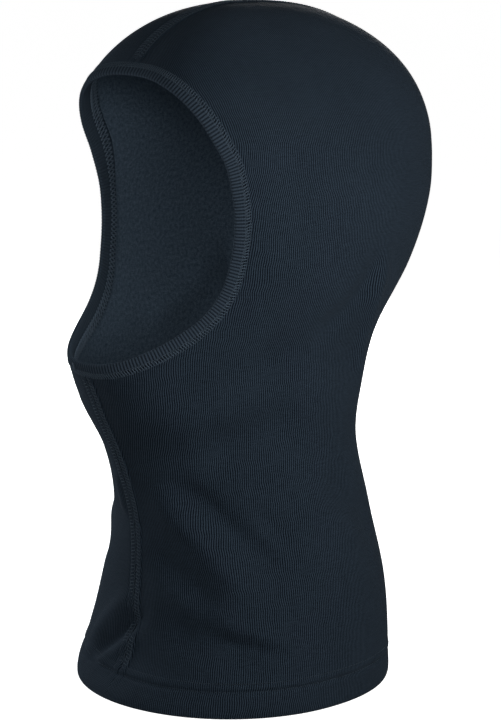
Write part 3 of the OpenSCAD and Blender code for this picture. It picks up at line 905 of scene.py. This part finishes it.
class Look:
    """A material or world in the making, with short calls for the few kinds of node that it uses."""

    def __init__(self, name, library=bpy.data.materials, shader="Principled BSDF"):
        self.owner = library.new(name)
        self.owner.use_nodes = True
        self.nodes, self.links = self.owner.node_tree.nodes, self.owner.node_tree.links
        self.shader = self.nodes[shader]

    def put(self, socket, value):
        if isinstance(value, bpy.types.NodeSocket):
            self.links.new(value, socket)
        else:
            socket.default_value = value

    def node(self, kind, **values):
        """The first output of a new node with these values in its inputs."""
        node = self.nodes.new(kind)
        for key, value in values.items():
            self.put(node.inputs[key.replace("_", " ")], value)
        return node.outputs[0]

    def math(self, operation, a, b=0.0, c=0.0):
        node = self.nodes.new("ShaderNodeMath")
        node.operation = operation
        for socket, value in zip(node.inputs, (a, b, c)):
            self.put(socket, value)
        return node.outputs[0]

    def times(self, a, b):
        return self.math("MULTIPLY", a, b)

    def wave(self, phase):
        """A wave between 0 and 1."""
        return self.math("MULTIPLY_ADD", self.math("SINE", phase), 0.5, 0.5)

    def split(self, vector):
        node = self.nodes.new("ShaderNodeSeparateXYZ")
        self.links.new(vector, node.inputs[0])
        return list(node.outputs)

    def cloth(self):
        """Millimetres across the wales and along them."""
        node = self.nodes.new("ShaderNodeUVMap")
        node.uv_map = "cloth"
        return self.split(node.outputs[0])[:2]

    def place(self, scale):
        """The object's coordinates in metres, times scale."""
        node = self.nodes.new("ShaderNodeTexCoord")
        size = self.nodes.new("ShaderNodeVectorMath")
        size.operation = "SCALE"
        self.links.new(node.outputs["Object"], size.inputs[0])
        size.inputs["Scale"].default_value = scale
        return size.outputs[0]

    def noise(self, vector, scale=1.0, detail=2.0, rough=0.5):
        return self.node("ShaderNodeTexNoise", Vector=vector, Scale=scale, Detail=detail, Roughness=rough)

    def cloth_noise(self, u, v, across, along, detail=2.0, rough=0.5):
        """Noise with a scale of its own across the wales and along them."""
        spread = self.node("ShaderNodeCombineXYZ", X=self.times(u, across), Y=self.times(v, along))
        return self.noise(spread, 1.0, detail, rough)

    def stretch(self, value, low, high, to_low=0.0, to_high=1.0):
        return self.node(
            "ShaderNodeMapRange", Value=value, From_Min=low, From_Max=high, To_Min=to_low, To_Max=to_high
        )

    def color(self, share, dark, light):
        """Colours the surface from dark to light as share goes from 0 to 1."""
        node = self.nodes.new("ShaderNodeMix")
        node.data_type = "RGBA"
        for key, value in (("Factor", share), ("A", (*dark, 1)), ("B", (*light, 1))):
            self.put(node.inputs[key], value)
        self.links.new(node.outputs["Result"], self.shader.inputs["Base Color"])

    def relief(self, height, depth, strength):
        """Raises the surface by at most `depth` millimetres as height goes from 0 to 1."""
        bump = self.node("ShaderNodeBump", Height=height, Distance=depth * MM, Strength=strength)
        self.links.new(bump, self.shader.inputs["Normal"])

    def finish(self, values):
        for key, value in values.items():
            self.shader.inputs[key].default_value = value
        return self.owner

    def fabric(self, roughness, sheen):
        return self.finish({
            "Roughness": roughness,
            "Specular IOR Level": 0.06,
            "Sheen Weight": sheen,
            "Sheen Roughness": 0.5,
            "Sheen Tint": (0.55, 0.76, 1.0, 1.0),
        })


def knit_material():
    """Fine jersey: upright wales of small V stitches, with the slight mottling of a melange yarn, and a
    painted shade in the grooves between the wales.
    """
    g = Look("Fine knit")
    u, v = g.cloth()
    drift = g.cloth_noise(u, v, 0.05, 0.12, 1.0)
    u = g.math("ADD", u, g.stretch(drift, 0.3, 0.7, -0.45, 0.45))
    wale = g.times(u, 1 / WALE_PITCH)
    ridge = g.math("ABSOLUTE", g.math("SINE", g.times(wale, math.pi)))
    legs = g.math("ABSOLUTE", g.math("SUBTRACT", g.math("FRACT", wale), 0.5))
    loops = g.wave(g.math("ADD", g.times(v, math.tau / COURSE_PITCH), g.times(legs, 5.0)))
    height = g.math("MULTIPLY_ADD", loops, 0.25, g.times(g.math("POWER", ridge, 0.7), 0.75))
    slub = g.cloth_noise(u, v, 0.16, 0.95, 2.0, 0.6)
    blotch = g.noise(g.place(30.0), detail=3.0)
    # Painted shade: the colour goes nearly black in the grooves between the wales; the slub mottling on top
    # is the yarn's own.
    painted_wale_shade_and_slub = g.times(g.math("POWER", ridge, 2.2), g.stretch(slub, 0.3, 0.7, 0.78, 1.12))
    shade = g.math("ADD", painted_wale_shade_and_slub, g.stretch(blotch, 0.3, 0.7, -0.03, 0.04))
    g.color(shade, (0.0004, 0.0016, 0.0038), (0.0250, 0.0385, 0.0550))
    g.relief(height, 0.35, 0.9)
    return g.fabric(0.85, 0.03)


def brushed_material():
    """The inner face: raised, matted fibres with no clear stitches."""
    g = Look("Brushed inner face")
    u, v = g.cloth()
    tufts = g.cloth_noise(u, v, 0.55, 0.45, 4.0, 0.65)
    fine = g.cloth_noise(u, v, 1.8, 1.5)
    height = g.math("MULTIPLY_ADD", fine, 0.4, g.times(tufts, 0.6))
    # These colours are several times lighter than the outer knit's: partly the brushed fibres' own paler
    # tone, partly painted light for the shaded inside of the hood.
    g.color(g.stretch(height, 0.35, 0.65), (0.028, 0.046, 0.068), (0.096, 0.136, 0.182))
    g.relief(height, 0.8, 0.8)
    return g.fabric(0.95, 0.1)


def rib_material():
    """Rib knit of the binding: the mesh has the ribs, the nodes add their loops and a painted shade in the
    grooves between them. On the band's inner turn the painted groove shade is weaker and the colour is
    painted lighter, as painted light.
    """
    g = Look("Rib knit")
    u, v = g.cloth()
    between = g.math("ABSOLUTE", g.math("SINE", g.times(u, math.pi / RIB_PITCH)))
    # Painted light: on the band's inner turn the painted shade between the ribs falls to 0.65 of its depth.
    folded = g.stretch(v, 6.0, 10.0, 1.0, 0.65)
    ridge = g.math("SUBTRACT", 1.0, g.times(g.math("POWER", between, 2.5), folded))
    loops = g.wave(g.times(v, math.tau / 0.75))
    yarn = g.cloth_noise(u, v, 1.2, 1.2)
    height = g.math("MULTIPLY_ADD", loops, 0.35, g.times(yarn, 0.4))
    # Painted light: the band's inner turn is painted lighter, where it lies in shade inside the opening.
    painted_inner_turn_light = g.stretch(v, 6.0, 9.0, 0.06, 0.44)
    shade = g.math("MULTIPLY_ADD", height, 0.3, g.math("MULTIPLY_ADD", ridge, 0.66, painted_inner_turn_light))
    g.color(shade, (0.0006, 0.0020, 0.0045), (0.0340, 0.0490, 0.0670))
    g.relief(height, 0.3, 0.8)
    return g.fabric(0.85, 0.04)


def thread_material(name, tone):
    """Textured polyester thread, two plies twisted together. A higher tone is lighter."""
    g = Look(name)
    u, v = g.cloth()
    height = g.wave(g.math("MULTIPLY_ADD", u, math.tau / THREAD_TWIST, g.times(v, 5.0)))
    fuzz = g.noise(g.place(900.0))
    shade = g.math("MULTIPLY_ADD", fuzz, 0.4, g.times(height, 0.6))
    g.color(shade, np.array((0.012, 0.021, 0.032)) * tone, np.array((0.096, 0.130, 0.168)) * tone)
    g.relief(height, 0.15, 0.8)
    return g.fabric(0.6, 0.08)


def tape_material():
    """Blank woven label tape."""
    g = Look("Woven label tape")
    place = g.place(1 / MM)
    across, _, up = g.split(place)
    warp = g.math("SINE", g.times(across, math.tau / 0.5))
    weft = g.math("SINE", g.times(up, math.tau / 0.6))
    height = g.math("MULTIPLY_ADD", g.times(warp, weft), 0.5, 0.5)
    wear = g.noise(place, 0.08)
    shade = g.math("MULTIPLY_ADD", wear, 0.5, g.times(height, 0.5))
    g.color(shade, (0.42, 0.42, 0.40), (0.66, 0.66, 0.63))
    g.relief(height, 0.1, 0.6)
    return g.fabric(0.7, 0.15)


def floor_material():
    g = Look("Studio floor")
    g.color(g.noise(g.place(0.6)), (0.90, 0.90, 0.90), (0.93, 0.93, 0.93))
    return g.finish({
        "Roughness": 0.9,
        "Specular IOR Level": 0.0,
        "Emission Color": (*WHITE, 1),
        "Emission Strength": FLOOR_GLOW,
    })


# ---------------------------------------- studio

def add_camera():
    """The view from the wearer's left front, a little above the middle of the hood."""
    level = math.cos(VIEW_ELEVATION)
    back = Vector((math.sin(VIEW_AZIMUTH) * level, -math.cos(VIEW_AZIMUTH) * level, math.sin(VIEW_ELEVATION)))
    data = bpy.data.cameras.new("Camera")
    data.sensor_fit = "VERTICAL"
    data.sensor_height = SENSOR_HEIGHT
    data.lens = SENSOR_HEIGHT * VIEW_DISTANCE / VIEW_HEIGHT
    data.clip_end = VIEW_LIMIT
    camera = add_object("camera", data)
    camera.location = VIEW_MIDDLE + back * VIEW_DISTANCE
    camera.rotation_euler = back.to_track_quat("Z", "Y").to_euler()
    bpy.context.scene.camera = camera


def add_area_light(name, place, size, power, color):
    data = bpy.data.lights.new(name, "AREA")
    data.shape = "DISK"
    data.size = size
    data.energy = power
    data.color = color
    light = add_object(name, data)
    light.location = place
    light.visible_camera = False
    light.rotation_euler = (Vector(place) - LIT_PLACE).to_track_quat("Z", "Y").to_euler()


def add_world():
    """A white background, which lights the hood less than it shows."""
    g = Look("Studio", bpy.data.worlds, "Background")
    _, _, up = g.split(g.nodes.new("ShaderNodeTexCoord").outputs["Generated"])
    level = g.stretch(up, 0.0, 1.0, FILL_LIGHT, FILL_LIGHT * TOP_FILL)
    fill = g.node("ShaderNodeBackground", Color=(*WHITE, 1), Strength=level)
    seen = g.nodes.new("ShaderNodeLightPath").outputs["Is Camera Ray"]
    either = g.nodes.new("ShaderNodeMixShader")
    for socket, source in zip(either.inputs, (seen, fill, g.shader.outputs[0])):
        g.links.new(source, socket)
    g.links.new(either.outputs[0], g.nodes["World Output"].inputs["Surface"])
    bpy.context.scene.world = g.finish({"Color": (*WHITE, 1)})


def add_floor():
    mesh = bpy.data.meshes.new("floor")
    corners = [(x * FLOOR_HALF, y * FLOOR_HALF, 0) for x, y in ((-1, -1), (1, -1), (1, 1), (-1, 1))]
    mesh.from_pydata(corners, [], [(0, 1, 2, 3)])
    mesh.materials.append(floor_material())
    floor = add_object("floor", mesh)
    floor.location.z = -FLOOR_DROP
    floor.visible_diffuse = False
    floor.visible_glossy = False


def add_studio():
    add_world()
    bpy.context.scene.view_settings.view_transform = "Standard"
    for light in LIGHTS:
        add_area_light(*light)
    add_floor()


# ---------------------------------------- the object

def settle(piece, node, body="hood"):
    """Puts a piece, made in its CAD node's place, on its body, and hides the CAD node."""
    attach(piece, body)
    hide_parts(node)


def add_panels():
    materials = [knit_material(), brushed_material()]
    for hand, side in (("left", 1), ("right", -1)):
        panel = side_panel(f"{hand}_panel_cloth", side, materials)
        settle(panel, f"{hand}_side_panel")


def settle_threads(prefix, pieces, ends):
    """Settles the threads of one seam, whose nodes' names end in `ends`."""
    for piece, end in zip(pieces, ends):
        settle(piece, f"{prefix}_{end}_thread")


def add_stitching():
    material = thread_material("Sewing thread", 0.6)
    cover_material = thread_material("Cover thread", 0.85)
    # Painted light: the looper thread gets the lightest tone, 1.5, to show up in the shade inside the hood
    # and under the binding.
    looper_material = thread_material("Looper thread", 1.5)
    face = face_stitching(material, cover_material, looper_material)
    settle_threads("face", face, ("cover", "inner_needle", "outer_needle", "looper"))
    front = centre_path(False, HEM_DEPTH, OPENING_BOTTOM - SEAM_START)
    for prefix, path in (("crown", crown_path()), ("front", front)):
        seam = flatlock(prefix, path, material, looper_material)
        settle_threads(prefix, seam, ("cover", "left_needle", "right_needle", "looper"))
    hem = hem_stitching(thread_material("Hem thread", 0.35))
    settle_threads("hem", hem, ("upper_needle", "lower_needle", "looper"))
    settle(bartack(material), "binding_bartack")


def tape_sheet(name, low, high, ripple, turned_edge, material):
    """Blank woven tape between two corners, with firm selvedges and, where asked, a turned lower edge."""
    columns, rows = 49, 69 if turned_edge else 13
    across, up = np.meshgrid(np.linspace(0, 1, columns), np.linspace(0, 1, rows))
    x = low[0] + (high[0] - low[0]) * across
    z = low[2] + (high[2] - low[2]) * up
    middle, half = (low[1] + high[1]) / 2, (high[1] - low[1]) / 2
    selvedge = smooth(0.86, 0.93, np.abs(2 * across - 1))
    turned = 1 - smooth(3.2, 3.8, z - low[2]) if turned_edge else 0 * z
    bulge = half * (0.55 + 0.25 * selvedge + 0.45 * turned)
    wave = ripple * np.sin(math.pi * 2.3 * across + 0.6) * (1 - up) ** 0.8
    front = np.stack([x, middle + wave - bulge, z], -1)
    back = np.stack([x, middle + wave + bulge, z], -1)
    points = np.concatenate([front.reshape(-1, 3), back.reshape(-1, 3)])
    count = rows * columns
    faces = []
    for j in range(rows - 1):
        for i in range(columns - 1):
            k = j * columns + i
            faces.append((k, k + 1, k + columns + 1, k + columns))
            faces.append((count + k, count + k + columns, count + k + columns + 1, count + k + 1))
    edge = list(range(columns))
    edge += [j * columns + columns - 1 for j in range(1, rows)]
    edge += [(rows - 1) * columns + i for i in range(columns - 2, -1, -1)]
    edge += [j * columns for j in range(rows - 2, 0, -1)]
    faces += [(b, a, count + a, count + b) for a, b in zip(edge, edge[1:] + edge[:1])]
    uv = np.stack([x.ravel(), z.ravel()], 1)
    return new_mesh(name, points, faces, np.concatenate([uv, uv]), [material])


def label_stitches(low, high, material):
    """A row of separate straight stitches across the label's fixed strip."""
    tubes = []
    length = (high[0] - low[0]) / LABEL_STITCHES
    middle_y, middle_z = (low[1] + high[1]) / 2, (low[2] + high[2]) / 2
    share = np.linspace(0, 1, 13)
    out = np.tile([0, -1.0, 0], (len(share), 1))
    for i in range(LABEL_STITCHES):
        x = low[0] + length * (i + 0.06 + 0.88 * share)
        y = middle_y - 0.12 + 0.42 * np.abs(2 * share - 1) ** 4
        places = np.stack([x, y, np.full(len(share), middle_z)], 1)
        tubes.append(thread_tube(places, out, THREAD_RADIUS * 0.9, False))
    return join_tubes("label_stitches", tubes, material)


def node_corners(name):
    low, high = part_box(name)
    return np.array(low) / MM, np.array(high) / MM


def add_label():
    tape = tape_material()
    strip = tape_sheet("label_fixed_strip", *node_corners("care_label_anchor"), 0, False, tape)
    settle(strip, "care_label_anchor")
    flap = tape_sheet("label_flap", *node_corners("care_label"), 0.25, True, tape)
    settle(flap, "care_label", "care_label")
    stitches = label_stitches(*node_corners("care_label_stitching"), thread_material("Label thread", 1.0))
    settle(stitches, "care_label_stitching")


add_camera()
add_studio()
add_panels()
settle(face_binding(rib_material()), "face_binding")
add_stitching()
add_label()
